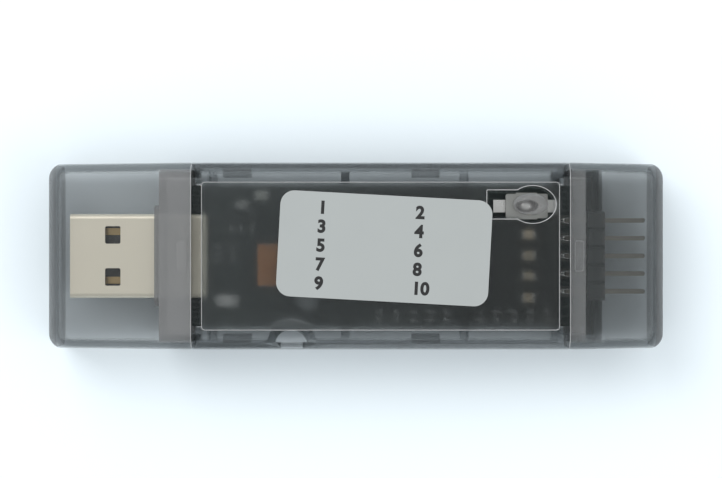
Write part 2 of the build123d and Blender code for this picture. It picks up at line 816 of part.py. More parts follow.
def tantalum():
    """The moulded tantalum capacitor and its two folded terminals."""
    length, width, height = tantalum_size
    sheet = lead_sheet
    inner = Pos(0, 0, sheet + (height - sheet) / 2) * Box(length, width - 2 * sheet, height - sheet)
    body = chamfer(inner.faces().sort_by(Axis.Z)[-1].edges(), chip_bevel)
    half, rise, foot_length = tantalum_terminal
    terminals = []
    for side in (-1, 1):
        face_y = side * (width / 2 - sheet)
        y0, y1 = sorted((face_y, face_y + side * sheet))
        riser = block(-half, half, y0, y1, 0, rise)
        y0, y1 = sorted((face_y + side * sheet, face_y - side * foot_length))
        foot = block(-half, half, y0, y1, 0, sheet)
        terminals.append(seat(riser + foot, tantalum_centre, False))
    return seat(body, tantalum_centre, False), terminals


def crystal():
    """The crystal's ceramic base and its welded lid."""
    length, width, height = crystal_size
    base = seat(Pos(0, 0, height / 2) * Box(length, width, height), crystal_centre, False)
    lid_length, lid_width, lid_height = crystal_lid
    lid = Pos(0, 0, height + lid_height / 2) * Box(lid_length, lid_width, lid_height)
    lid = fillet(lid.edges().filter_by(Axis.Z), lid_corner)
    return base, seat(lid, crystal_centre, False)


def status_led():
    """The status light: a pale base with end contacts, and a clear lens on it."""
    base = chip_core(led_centre, led_size, True, led_end)
    ends = end_caps(led_centre, led_size, True, led_end)
    lens = Pos(0, 0, led_size[2] - core_step / 2 + led_lens[2] / 2) * Box(*led_lens)
    lens = chamfer(lens.faces().sort_by(Axis.Z)[-1].edges(), chip_bevel)
    return base, ends, seat(lens, led_centre, False)


def label():
    """The printed sticker, stuck in the panel a little askew."""
    sheet = extrude(RectangleRounded(*label_size, label_corner_radius), label_thickness)
    return Pos(*label_centre, panel_z) * Rot(0, 0, label_tilt) * sheet


# ================================================================ write every piece
def write(name, shape):
    """One STEP file for one node; a list becomes a group of separate solids."""
    if isinstance(shape, list):
        shape = Compound(children=[solid for item in shape for solid in item.solids()])
    export_step(shape, f"parts/{name}.step")


def main():
    os.makedirs("parts", exist_ok=True)
    upper, lower = body_halves()
    write("body_upper_shell", upper)
    write("body_lower_shell", lower)
    write("usb_cap", usb_cap())
    write("header_cap", header_cap())
    write("label_sticker", label())

    write("usb_plug_shell", usb_plug_shell())
    write("usb_plug_insulator", usb_insulator())
    write("usb_plug_contacts", usb_contacts())
    write("pin_header_block", pin_block())
    write("header_pins_upper", header_pins(mid_z + pin_pitch / 2))
    write("header_pins_lower", header_pins(mid_z - pin_pitch / 2))

    write("switch_base", switch_base())
    write("switch_cover", switch_cover())
    write("switch_terminals", switch_terminals())
    write("switch_dome", switch_dome())
    write("button", button())

    write("circuit_board", circuit_board())
    write("controller_chip", chip_body(controller_centre, controller_size))
    write("controller_leads", controller_pins())
    write("buffer_chip", chip_body(buffer_centre, buffer_size))
    fine = gull_lead(*buffer_lead)
    write("buffer_leads", two_sided_leads(buffer_centre, buffer_size[0] / 2, *buffer_leads, (0, 180), fine))
    write("regulator_body", chip_body(regulator_centre, regulator_size))
    write("regulator_leads", regulator_leads())
    write("surge_guard", chip_body(surge_centre, surge_size))
    short = gull_lead(*surge_lead)
    half = surge_size[0] / 2
    write("surge_guard_leads", two_sided_leads(surge_centre, half, *surge_leads, (0, 180), short))
    write("memory_chip", chip_body(memory_centre, memory_size, under=True))
    broad = gull_lead(*memory_lead)
    count, pitch = memory_leads
    half = memory_size[1] / 2
    write("memory_leads", two_sided_leads(memory_centre, half, count, pitch, (90, 270), broad, True))

    base, lid = crystal()
    write("crystal_base", base)
    write("crystal_lid", lid)
    body, terminals = tantalum()
    write("tantalum_capacitor", body)
    write("tantalum_terminals", terminals)
    core, ends = row_of([fuse_centre], fuse_size, True, fuse_end)
    write("usb_fuse", core)
    write("usb_fuse_ends", ends)
    cores, ends = row_of(filter_places, filter_size, True, filter_end)
    write("filter_capacitors", cores)
    write("filter_capacitor_ends", ends)
    cores, ends = row_of(edge_row, edge_size, False, small_end)
    write("edge_resistors", cores)
    write("edge_resistor_ends", ends)
    places = [from_middle(place) for place in decoupling_from_middle]
    cores, ends = row_of(places, decoupling_size, False, small_end)
    write("decoupling_capacitors", cores)
    write("decoupling_capacitor_ends", ends)
    places = [from_middle(place) for place in underside_from_middle]
    cores, ends = row_of(places, underside_size, True, small_end, under=True)
    write("underside_resistors", cores)
    write("underside_resistor_ends", ends)
    base, ends, lens = status_led()
    write("status_led_base", base)
    write("status_led_ends", ends)
    write("status_led_lens", lens)


main()
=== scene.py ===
import json
import math
import bpy
import numpy as np
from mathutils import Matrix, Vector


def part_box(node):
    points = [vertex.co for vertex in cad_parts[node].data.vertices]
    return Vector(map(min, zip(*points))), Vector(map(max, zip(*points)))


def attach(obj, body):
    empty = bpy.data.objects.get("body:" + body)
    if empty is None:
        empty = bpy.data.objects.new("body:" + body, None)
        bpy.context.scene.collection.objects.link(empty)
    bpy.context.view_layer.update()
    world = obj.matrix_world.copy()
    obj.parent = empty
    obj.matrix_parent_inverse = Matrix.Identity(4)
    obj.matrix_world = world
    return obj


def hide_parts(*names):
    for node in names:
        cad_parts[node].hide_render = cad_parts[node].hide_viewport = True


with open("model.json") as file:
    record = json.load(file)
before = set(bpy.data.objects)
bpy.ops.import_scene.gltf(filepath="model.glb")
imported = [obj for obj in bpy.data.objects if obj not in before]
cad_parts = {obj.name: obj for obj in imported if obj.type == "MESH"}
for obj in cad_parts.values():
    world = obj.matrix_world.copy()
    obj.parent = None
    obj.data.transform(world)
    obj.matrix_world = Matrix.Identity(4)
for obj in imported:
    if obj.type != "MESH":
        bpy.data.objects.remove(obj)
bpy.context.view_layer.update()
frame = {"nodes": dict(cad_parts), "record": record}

millimetre = 0.001
nodes = frame["nodes"]
print("frame loaded with", len(nodes), "nodes")


# ---- places, all taken from the frame

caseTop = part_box("body_upper_shell")[1][2]
rimGap = 0.05 * millimetre        # between a cap's rim and the body's shoulder
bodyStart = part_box("usb_cap")[1][0] + rimGap
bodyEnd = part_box("header_cap")[0][0] - rimGap
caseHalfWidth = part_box("body_upper_shell")[1][1]
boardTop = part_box("circuit_board")[1][2]
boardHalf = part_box("circuit_board")[1][1]
labelLow, labelHigh = [np.array(corner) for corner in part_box("label_sticker")]
panel = {"inset": 1.55 * millimetre, "side": 2.8 * millimetre, "depth": 0.15 * millimetre}
panelStart, panelEnd = bodyStart + panel["inset"], bodyEnd - panel["inset"]
panelHalf = caseHalfWidth - panel["side"]
panelTop = caseTop - panel["depth"]


# ---- shader writing

class Signal:
    # one socket of a node, on which sums and products add their own Math nodes
    def __init__(self, finish, socket):
        self.finish = finish
        self.socket = socket

    def maths(self, operation, first, second=0.0):
        return self.finish.node("ShaderNodeMath", {"operation": operation}, {0: first, 1: second})

    def __add__(self, other):
        return self.maths("ADD", self, other)

    def __radd__(self, other):
        return self.maths("ADD", other, self)

    def __sub__(self, other):
        return self.maths("SUBTRACT", self, other)

    def __rsub__(self, other):
        return self.maths("SUBTRACT", other, self)

    def __mul__(self, other):
        return self.maths("MULTIPLY", self, other)

    def __rmul__(self, other):
        return self.maths("MULTIPLY", other, self)

    def __gt__(self, other):
        return self.maths("GREATER_THAN", self, other)

    def __lt__(self, other):
        return self.maths("LESS_THAN", self, other)

    def __abs__(self):
        return self.maths("ABSOLUTE", self)


class Finish:
    # one material, and the single way in which its nodes are added
    def __init__(self, name):
        self.material = bpy.data.materials.new(name)
        self.material.use_nodes = True
        self.tree = self.material.node_tree
        self.tree.nodes.clear()

    def node(self, kind, settings=None, values=None, out=0):
        made = self.tree.nodes.new(kind)
        for key, value in (settings or {}).items():
            setattr(made, key, value)
        for key, value in (values or {}).items():
            if isinstance(value, Signal):
                self.tree.links.new(value.socket, made.inputs[key])
            else:
                made.inputs[key].default_value = value
        return Signal(self, made.outputs[out])

    def place(self):
        return self.node("ShaderNodeTexCoord", out="Object")

    def axes(self):
        split = self.node("ShaderNodeSeparateXYZ", {}, {0: self.place()})
        return [Signal(self, output) for output in split.socket.node.outputs]

    # cloudy values round 0.5, fixed to the object's own coordinates
    def noise(self, scale, detail):
        values = {"Vector": self.place(), "Scale": scale, "Detail": detail, "Roughness": 0.55}
        return self.node("ShaderNodeTexNoise", {}, values)

    def blend(self, factor, first, second):
        values = {0: factor, 6: first, 7: second}
        return self.node("ShaderNodeMix", {"data_type": "RGBA"}, values, 2)

    def bump(self, height, strength, distance):
        values = {"Height": height, "Strength": strength, "Distance": distance}
        return self.node("ShaderNodeBump", {}, values)

    def close(self, values, volume=None):
        shader = self.node("ShaderNodeBsdfPrincipled", {}, values)
        outputs = {0: shader}
        if volume:
            outputs[1] = self.node("ShaderNodeVolumeAbsorption", {}, volume)
        finishOutput = self.tree.nodes.new("ShaderNodeOutputMaterial")
        for key, value in outputs.items():
            self.tree.links.new(value.socket, finishOutput.inputs[key])
        return self.material


def grey(level, warm=0.0):
    return (level * (1 + warm), level, level * (1 - warm), 1.0)


# ---- the smoked plastic

smoke = {
    "passes": (0.42, 0.44, 0.45, 1.0),
    "ior": 1.58,
    "specular": 0.16,
    "edgeVeil": 0.20,
    "edgeWidth": 0.25,
    "haze": 0.30,
    "gloss": 0.12,
    "cloud": (90.0, 3.0),
    "cloudVeil": 0.03,
    "cloudHaze": 0.06,
    "grain": (9000.0, 2.0),
    "grainOnGloss": 0.25,
    "bump": (0.25, 0.00003),
    "tip": -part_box("usb_cap")[0][0] - 1.0 * millimetre,
    "tipColour": grey(0.10),
    "tipVeil": 0.30,
}
bodySmoke = {
    "veil": 0.08,
    "colour": (0.100, 0.112, 0.114, 1.0),
    "speckle": (0.135, 0.147, 0.150, 1.0),
    "density": 165.0,
}
usbCapSmoke = {
    "veil": 0.05,
    "colour": (0.270, 0.280, 0.280, 1.0),
    "speckle": (0.33, 0.34, 0.34, 1.0),
    "density": 185.0,
}
pinCapSmoke = {
    "veil": 0.10,
    "colour": (0.150, 0.163, 0.165, 1.0),
    "speckle": (0.20, 0.215, 0.215, 1.0),
    "density": 185.0,
}
# painted shade: the panel's colour runs from usbEnd, lighter, to pinEnd, nearly black, standing in
# for how light falls along the frosted panel
panelLook = {
    "usbEnd": (0.055, 0.068, 0.070, 1.0),
    "pinEnd": (0.006, 0.009, 0.010, 1.0),
    "drift": 0.5,
    "veil": 0.24,
    "frost": 0.62,
    "skin": 0.02 * millimetre,
    "grain": 0.9,
    "grainElsewhere": 0.1,
}
collarLook = {
    "usbEnd": grey(0.38),
    "usbVeil": 0.45,
    "pinEnd": grey(0.34),
    "pinVeil": 0.36,
    "pinReach": 2.2 * millimetre,
}


# veil is how much of the surface is seen, more towards the silhouette, and the volume darkens
# with depth; masks on x, y and z change the panel and collars of the body, or the tips of a cap
def smokedPlastic(name, look, roughness, isBody=False):
    finish = Finish(name)
    x, y, z = finish.axes()
    cloud = finish.noise(*smoke["cloud"])
    grain = finish.noise(*smoke["grain"])
    facing = finish.node("ShaderNodeLayerWeight", {}, {"Blend": smoke["edgeWidth"]}, "Fresnel")
    colour = finish.blend(cloud, look["colour"], look["speckle"])
    alpha = look["veil"] + facing * smoke["edgeVeil"] + (cloud - 0.5) * smoke["cloudVeil"]
    rough = roughness + (cloud - 0.5) * smoke["cloudHaze"]
    if isBody:
        middle, half = (panelStart + panelEnd) / 2, (panelEnd - panelStart) / 2
        inside = (abs(x - middle) < half) * (abs(y) < panelHalf)
        frosted = inside * (z > panelTop - panelLook["skin"])
        # painted shade along the panel, from the USB end to the pin end, broken by cloud
        along = (x - panelStart) * (1 / (panelEnd - panelStart))
        along = along + (cloud - 0.5) * panelLook["drift"]
        panelTintAndShade = finish.blend(along, panelLook["usbEnd"], panelLook["pinEnd"])
        usbCollar = x < bodyStart
        pinCollar = (x > bodyEnd) * (x < bodyEnd + collarLook["pinReach"])
        for mask, tint in (
            (frosted, panelTintAndShade),
            (usbCollar, collarLook["usbEnd"]),
            (pinCollar, collarLook["pinEnd"]),
        ):
            colour = finish.blend(mask, colour, tint)
        alpha = alpha + frosted * (panelLook["veil"] - look["veil"])
        alpha = alpha + usbCollar * collarLook["usbVeil"] + pinCollar * collarLook["pinVeil"]
        rough = rough + frosted * (panelLook["frost"] - roughness)
        height = grain * (frosted * panelLook["grain"] + panelLook["grainElsewhere"])
    else:
        endWall = abs(x) > smoke["tip"]
        colour = finish.blend(endWall, colour, smoke["tipColour"])
        alpha = alpha + endWall * smoke["tipVeil"]
        height = grain * smoke["grainOnGloss"]
    values = {
        "Base Color": colour,
        "Roughness": rough,
        "Alpha": alpha,
        "Normal": finish.bump(height, *smoke["bump"]),
        "IOR": smoke["ior"],
        "Specular IOR Level": smoke["specular"],
    }
    volume = {"Color": smoke["passes"], "Density": look["density"]}
    return finish.close(values, volume)


# ---- metals, mouldings and small parts

plating = {
    "patches": (220.0, 5.0),
    "grainDetail": 3.0,
    "tarnish": 0.18,
    "bump": (0.3, 0.00003),
}
moulding = {
    "patches": (500.0, 4.0),
    "grain": (4000.0, 4.0),
    "mattness": 0.15,
    "bump": (0.35, 0.00004),
}


# a plated sheet: a flat metal colour, broken by fine grain and slow patches of tarnish
def platedMetal(name, colour, stain, roughness, grainScale=5000.0):
    finish = Finish(name)
    patches = finish.noise(*plating["patches"])
    grain = finish.noise(grainScale, plating["grainDetail"])
    values = {
        "Base Color": finish.blend(patches, colour, stain),
        "Metallic": 1.0,
        "Roughness": roughness + (patches - 0.5) * plating["tarnish"],
        "Normal": finish.bump(grain, *plating["bump"]),
    }
    return finish.close(values)


# a moulded or fired part: its colour drifts a little, and a fine grain breaks its gloss
def mouldedPart(name, colour, second, roughness, coat=0.0):
    finish = Finish(name)
    patches = finish.noise(*moulding["patches"])
    grain = finish.noise(*moulding["grain"])
    values = {
        "Base Color": finish.blend(patches, colour, second),
        "Roughness": roughness + (grain - 0.5) * moulding["mattness"],
        "Normal": finish.bump(grain, *moulding["bump"]),
        "Coat Weight": coat,
    }
    return finish.close(values)


boardLook = {
    "mask": (0.006, 0.009, 0.009, 1.0),
    "maskLight": (0.016, 0.022, 0.021, 1.0),
    "copper": (0.028, 0.036, 0.032, 1.0),
    "plate": (0.055, 0.056, 0.050, 1.0),
    "pitch": 2.54 * millimetre,
    "padHalf": 0.75 * millimetre,
    "padStart": 1.2 * millimetre,
    "thickness": 1.6 * millimetre,
    "platedSkin": 0.02 * millimetre,
    "trackPitch": 0.9 * millimetre,
    "trackShare": 0.3,
    "bend": 0.004,
}


# tracks are bands of a bent coordinate under the mask; pads are boxes repeated at the pins' pitch
def boardMask():
    finish = Finish("boardMask")
    x, y, z = finish.axes()

    def repeated(coordinate, pitch):
        values = {0: coordinate, 1: pitch, 2: 0.0}
        return finish.node("ShaderNodeMath", {"operation": "WRAP"}, values)

    bend = finish.noise(130.0, 1.0)
    patches = finish.noise(260.0, 3.0)
    wave = repeated(y + bend * boardLook["bend"], boardLook["trackPitch"])
    track = wave < boardLook["trackShare"] * boardLook["trackPitch"]
    colour = finish.blend(patches, boardLook["mask"], boardLook["maskLight"])
    colour = finish.blend(track * 0.8, colour, boardLook["copper"])
    pitch = boardLook["pitch"]
    beat = repeated(y + pitch / 2, pitch)
    padRow = (abs(beat - pitch / 2) < boardLook["padHalf"]) * (abs(y) < 2.5 * pitch)
    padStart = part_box("header_pins_upper")[0][0] - boardLook["padStart"]
    half = boardLook["thickness"] / 2
    pads = padRow * (x > padStart) * (abs(z - (boardTop - half)) > half - boardLook["platedSkin"])
    values = {
        "Base Color": finish.blend(pads, colour, boardLook["plate"]),
        "Metallic": pads * 0.5,
        "Roughness": 0.34 + (patches - 0.5) * 0.15,
        "Normal": finish.bump(track * 0.5 + pads, 0.5, 0.00004),
        "Specular IOR Level": 0.18,
    }
    return finish.close(values)


labelLook = {
    "paper": (0.340, 0.360, 0.355, 1.0),
    "second": (0.360, 0.380, 0.374, 1.0),
}


# satin paper film: an even grey with a faint fibre grain
def labelPaper():
    finish = Finish("labelPaper")
    patches = finish.noise(160.0, 4.0)
    fibre = finish.noise(7000.0, 5.0)
    values = {
        "Base Color": finish.blend(patches, labelLook["paper"], labelLook["second"]),
        "Roughness": 0.48 + (fibre - 0.5) * 0.12,
        "Normal": finish.bump(fibre, 0.3, 0.00002),
    }
    return finish.close(values)


# clear resin: mostly see-through, more of it seen towards the edges, where it shines
def clearResin(name, colour, veil):
    finish = Finish(name)
    facing = finish.node("ShaderNodeLayerWeight", {}, {"Blend": 0.45}, "Facing")
    cloud = finish.noise(900.0, 3.0)
    values = {
        "Base Color": finish.blend(cloud, colour, grey(0.5)),
        "Roughness": 0.08 + (cloud - 0.5) * 0.05,
        "Alpha": veil + facing * 0.5,
        "Coat Weight": 0.6,
        "IOR": 1.5,
        "Normal": finish.bump(cloud, 0.15, 0.00005),
    }
    return finish.close(values)


orange, orangeLight = (0.86, 0.30, 0.07, 1), (0.92, 0.36, 0.09, 1)
tan, tanLight = (0.62, 0.50, 0.34, 1), (0.72, 0.58, 0.40, 1)
plugTone, plugStain = (0.74, 0.69, 0.57, 1), (0.67, 0.62, 0.52, 1)
fired = 0.25        # the glaze on ceramic parts
finishes = {
    "case_smoke": smokedPlastic("smokedBody", bodySmoke, smoke["gloss"], True),
    "cap_smoke": smokedPlastic("smokedCap", usbCapSmoke, smoke["haze"]),
    "label_paper": labelPaper(),
    "plug_steel": platedMetal("plugSheet", plugTone, plugStain, 0.46, 2200.0),
    "black_moulding": mouldedPart("blackMoulding", grey(0.012), grey(0.02), 0.45),
    "white_moulding": mouldedPart("whiteMoulding", grey(0.72, 0.02), grey(0.62, 0.03), 0.4),
    "gold_contact": platedMetal("goldFlash", (0.42, 0.30, 0.15, 1), (0.32, 0.24, 0.12, 1), 0.3),
    "tin_plate": platedMetal("tinPlate", (0.60, 0.59, 0.57, 1), (0.46, 0.46, 0.44, 1), 0.30),
    "board_black": boardMask(),
    "chip_black": mouldedPart("chipEpoxy", grey(0.016), grey(0.028), 0.55),
    "tantalum_orange": mouldedPart("orangeEpoxy", orange, orangeLight, 0.42),
    "capacitor_tan": mouldedPart("tanCeramic", tan, tanLight, 0.5, fired),
    "resistor_black": mouldedPart("resistorGlaze", grey(0.03), grey(0.05), 0.25, fired),
    "clear_button": clearResin("clearButton", grey(0.34, 0.01), 0.14),
    "lens_clear": clearResin("lensResin", (0.8, 0.85, 0.7, 1), 0.4),
}
pinPlate = platedMetal("pinPlate", (0.17, 0.16, 0.14, 1), (0.12, 0.115, 0.10, 1), 0.36)
nodeFinishes = {
    "header_cap": smokedPlastic("smokedPinCap", pinCapSmoke, smoke["haze"]),
    "header_pins_upper": pinPlate,
    "header_pins_lower": pinPlate,
    "switch_cover": platedMetal("coverPlate", (0.34, 0.34, 0.32, 1), (0.26, 0.26, 0.25, 1), 0.3),
    "usb_plug_insulator": mouldedPart("darkInsulator", grey(0.035), grey(0.05), 0.5),
}
for entry in frame["record"]["subparts"]:
    for slot in nodes[entry["node"]].material_slots:
        slot.material = nodeFinishes.get(entry["node"], finishes[entry["material_slot"]])
print("materials on", len(finishes), "slots")


# ---- pieces worked out as surfaces

def addPiece(name, points, faces, finish, body, slotName, smooth=True):
    mesh = bpy.data.meshes.new(name)
    mesh.from_pydata(points.tolist(), [], faces.tolist() if hasattr(faces, "tolist") else faces)
    mesh.materials.append(finish)
    mesh.polygons.foreach_set("use_smooth", np.full(len(mesh.polygons), smooth))
    mesh.update()
    piece = bpy.data.objects.new(name, mesh)
    bpy.context.scene.collection.objects.link(piece)
    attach(piece, body)
    return piece


# rings stacked from bottom to top, joined round and upwards, with a pole point closing each end
def stackedRings(rings):
    levels, around = rings.shape[:2]
    index = np.arange(levels * around).reshape(levels, around)
    beside = np.roll(index, -1, axis=1)
    quads = np.stack([index[:-1], beside[:-1], beside[1:], index[1:]], axis=-1).reshape(-1, 4)
    low, high = levels * around, levels * around + 1
    floor = np.stack([beside[0], index[0], np.full(around, low)], axis=-1)
    roof = np.stack([index[-1], beside[-1], np.full(around, high)], axis=-1)
    poles = np.stack([rings[0].mean(axis=0), rings[-1].mean(axis=0)])
    points = np.concatenate([rings.reshape(-1, 3), poles])
    return points, quads.tolist() + floor.tolist() + roof.tolist()


button = {
    "offset": (0.45, 0.2),
    "pebble": (2.5, 1.55),
    "stem": (1.6, 0.85),
    "flange": (1.95, 1.25),
    "shoulderDrop": 1.21,
    "flangeUnder": 0.24,
    "pebbleOver": 0.36,
    "around": 96,
}


# ovals stacked up the button: flange, stem, then a pebble whose top falls as a quarter ellipse
def buttonSurface():
    low, high = [np.array(corner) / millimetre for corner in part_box("button")]
    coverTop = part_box("switch_cover")[1][2] / millimetre
    stemX, stemY = [
        (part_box("switch_cover")[0][axis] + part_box("switch_cover")[1][axis]) / 2 / millimetre
        for axis in (0, 1)
    ]
    flangeTop = coverTop - button["flangeUnder"]
    capLow = coverTop + button["pebbleOver"]
    bend = np.linspace(0, math.pi / 2, 14)
    rounding = 0.98 * np.cos(bend)[:-1] + 0.02
    levels = [
        (low[2], *button["flange"], 0),
        (flangeTop, *button["flange"], 0),
        (flangeTop, *button["stem"], 0),
        (capLow, *button["stem"], 0),
        (capLow, *button["pebble"], 1),
    ]
    shoulder = high[2] - button["shoulderDrop"]
    for share, rise in zip(rounding, np.sin(bend)):
        halves = [side * share for side in button["pebble"]]
        levels.append((shoulder + (high[2] - shoulder) * rise, *halves, 1))
    table = np.array(levels)
    angle = np.linspace(0, 2 * math.pi, button["around"], endpoint=False)
    x = stemX + table[:, 3:4] * button["offset"][0] + table[:, 1:2] * np.cos(angle)
    y = stemY + table[:, 3:4] * button["offset"][1] + table[:, 2:3] * np.sin(angle)
    z = np.repeat(table[:, 0:1], button["around"], axis=1)
    return stackedRings(np.stack([x, y, z], axis=-1) * millimetre)


buttonFinish = finishes["clear_button"]
buttonPiece = addPiece("buttonPebble", *buttonSurface(), buttonFinish, "button", "clear_button")
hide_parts("button")
print("button built")

solder = {
    "count": 5,
    "pitch": 2.54,
    "half": (1.3, 0.62),
    "rise": 0.62,
    "waist": 0.12,
    "fromTail": 0.7,
    "around": 40,
    "levels": 14,
}


# a solder joint is half an ellipsoid lying on the board, pulled in at its waist by a sine
def solderSurface(side):
    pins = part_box("header_pins_upper" if side > 0 else "header_pins_lower")
    tail = pins[0][0] / millimetre
    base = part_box("circuit_board")[1 if side > 0 else 0][2] / millimetre
    angle = np.linspace(0, 2 * math.pi, solder["around"], endpoint=False)
    lift = np.linspace(0.0, 0.96, solder["levels"])[:, None]
    spread = np.sqrt(1 - lift**2) * (1 - solder["waist"] * np.sin(math.pi * lift))
    points, faces = [], []
    for row in range(solder["count"]):
        y = (row - (solder["count"] - 1) / 2) * solder["pitch"]
        rings = np.stack([
            tail + solder["fromTail"] + solder["half"][0] * spread * np.cos(angle),
            y + solder["half"][1] * spread * np.sin(angle) * side,
            base + side * solder["rise"] * lift + 0 * angle,
        ], axis=-1) * millimetre
        newPoints, newFaces = stackedRings(rings)
        shift = sum(len(block) for block in points)
        points.append(newPoints)
        faces += [[corner + shift for corner in face] for face in newFaces]
    return np.concatenate(points), faces


solderTone, solderStain = (0.93, 0.92, 0.90, 1), (0.80, 0.80, 0.78, 1)
solderFinish = platedMetal("brightSolder", solderTone, solderStain, 0.14, 1500.0)
for side, name in ((1, "solderUpper"), (-1, "solderLower")):
    addPiece(name, *solderSurface(side), solderFinish, "case", "tin_plate")
print("solder built")

bead = {"around": 8, "perCorner": 12}


# a round bead carried along a closed path: at each point a circle in the plane of the outward
# direction and the path's axis
def beadSurface(path, outward, axis, radius):
    angle = np.linspace(0, 2 * math.pi, bead["around"], endpoint=False)[:, None]
    spokes = np.cos(angle) * outward[:, None, :] + np.sin(angle) * np.array(axis)
    rings = path[:, None, :] + radius * spokes
    count, around = rings.shape[:2]
    index = np.arange(count * around).reshape(count, around)
    ahead = np.roll(index, -1, axis=0)
    beside, opposite = np.roll(index, -1, axis=1), np.roll(ahead, -1, axis=1)
    quads = np.stack([index, ahead, opposite, beside], axis=-1)
    return rings.reshape(-1, 3) * millimetre, quads.reshape(-1, 4)


# a rounded rectangle: four quarter circles whose centres are the inset corners
def roundedPath(halfLength, halfWidth, corner):
    turn = np.linspace(0, math.pi / 2, bead["perCorner"])
    points, outward = [], []
    for quarter, (signU, signV) in enumerate(((1, 1), (-1, 1), (-1, -1), (1, -1))):
        direction = turn + quarter * math.pi / 2
        away = np.stack([np.cos(direction), np.sin(direction)], axis=-1)
        centre = np.array([signU * (halfLength - corner), signV * (halfWidth - corner)])
        points.append(centre + corner * away)
        outward.append(away)
    return np.concatenate(points), np.concatenate(outward)


# a bead round a rounded rectangle that lies flat
def flatBead(centre, halfLength, halfWidth, corner, z, radius):
    path, away = roundedPath(halfLength, halfWidth, corner)
    lift = np.zeros((len(path), 1))
    path = np.hstack([path + np.array(centre), lift + z])
    return beadSurface(path, np.hstack([away, lift]), (0, 0, 1), radius)


# a bead round a rounded rectangle that stands across the case at x
def uprightBead(x, halfWidth, halfHeight, corner, radius):
    path, away = roundedPath(halfWidth, halfHeight, corner)
    lift = np.zeros((len(path), 1))
    path = np.hstack([lift + x, path + np.array([0, caseTop / millimetre / 2])])
    return beadSurface(path, np.hstack([lift, away]), (1, 0, 0), radius)


# the pale beads are painted highlights, standing in for the light caught on the panel's border, the
# shoulders, the detents and the port's rim
highlightFinish = clearResin("paintedHighlight", grey(0.72), 0.7)
panelHighlightBead = {"radius": 0.045, "corner": 0.5}
panelMiddle = (panelStart + panelEnd) / 2 / millimetre
addPiece("panelHighlightBead", *flatBead(
    (panelMiddle, 0),
    (panelEnd - panelStart) / 2 / millimetre - panelHighlightBead["radius"],
    panelHalf / millimetre - panelHighlightBead["radius"],
    panelHighlightBead["corner"], panelTop / millimetre, panelHighlightBead["radius"],
), highlightFinish, "case", "case_smoke")

# painted highlight: a pale bead standing in for the light caught on the arris where each cap meets
# the body's shoulder
shoulderHighlightBead = {"radius": 0.05, "edge": 2.8, "inset": 0.16}
for name, x, side in (("usbShoulderHighlight", bodyStart, 1), ("pinShoulderHighlight", bodyEnd, -1)):
    inset = shoulderHighlightBead["inset"]
    addPiece(name, *uprightBead(
        x / millimetre + side * shoulderHighlightBead["radius"],
        caseHalfWidth / millimetre - inset, caseTop / millimetre / 2 - inset,
        shoulderHighlightBead["edge"] - inset, shoulderHighlightBead["radius"],
    ), highlightFinish, "case", "case_smoke")

# painted highlight: a pale bead standing in for the light caught on the arris of each detent on the
# collars' label side
detentHighlightBead = {
    "fromShoulder": 1.28,
    "half": (0.62, 2.12),
    "corner": 0.3,
    "radius": 0.05,
    "under": 1.02,
}
for name, x in (
    ("usbDetentHighlight", bodyStart / millimetre - detentHighlightBead["fromShoulder"]),
    ("pinDetentHighlight", bodyEnd / millimetre + detentHighlightBead["fromShoulder"]),
):
    addPiece(name, *flatBead(
        (x, 0), *detentHighlightBead["half"], detentHighlightBead["corner"],
        caseTop / millimetre - detentHighlightBead["under"], detentHighlightBead["radius"],
    ), highlightFinish, "case", "case_smoke")
print("beads built")

frost = {
    "colour": (0.70, 0.72, 0.72, 1.0),
    "second": 0.93,
    "roughness": 0.42,
    "low": 0.035,
    "high": 0.02,
    "across": 220,
}


# frosted plastic scatters what is seen through it; a fine grain varies how much
def frostedFinish():
    finish = Finish("frostedPlastic")
    cloud = finish.noise(140.0, 3.0)
    second = tuple(frost["second"] * part for part in frost["colour"][:3]) + (1.0,)
    values = {
        "Base Color": finish.blend(cloud, frost["colour"], second),
        "Roughness": frost["roughness"] + (cloud - 0.5) * 0.1,
        "Transmission Weight": 1.0,
        "IOR": 1.35,
        "Specular IOR Level": 0.1,
    }
    return finish.close(values)


keyPort = {
    "fromEnd": 5.4,
    "fromBoardSide": 2.8,
    "radii": (2.95, 2.3),
    "slotLength": 6.1,
    "slotHalf": 1.68,
    "rim": 0.45,
    "startAngle": 0.003,
}
portX = bodyEnd / millimetre - keyPort["fromEnd"]
portY = boardHalf / millimetre - keyPort["fromBoardSide"]


# distance from a centre to a box's outline in each direction: the nearer of its two walls
def boxReach(direction, low, high):
    with np.errstate(divide="ignore"):
        alongX = np.where(np.cos(direction) > 0, high[0], low[0]) / np.cos(direction)
        alongY = np.where(np.sin(direction) > 0, high[1], low[1]) / np.sin(direction)
    return np.minimum(np.abs(alongX), np.abs(alongY))


# the port's outline grown by grow: in each direction the farther of an oval and a slot towards -x
def portReach(direction, grow):
    a, b = [radius + grow for radius in keyPort["radii"]]
    oval = a * b / np.hypot(b * np.cos(direction), a * np.sin(direction))
    half = keyPort["slotHalf"] + grow
    slot = boxReach(direction, (-keyPort["slotLength"] - grow, -half), (0.001, half))
    return np.maximum(oval, np.where(np.cos(direction) < 0, slot, 0))


# directions all the way round, begun a little off the axes so that no cosine or sine is 0
def roundDirections(count):
    return np.linspace(-math.pi, math.pi, count, endpoint=False) + keyPort["startAngle"]


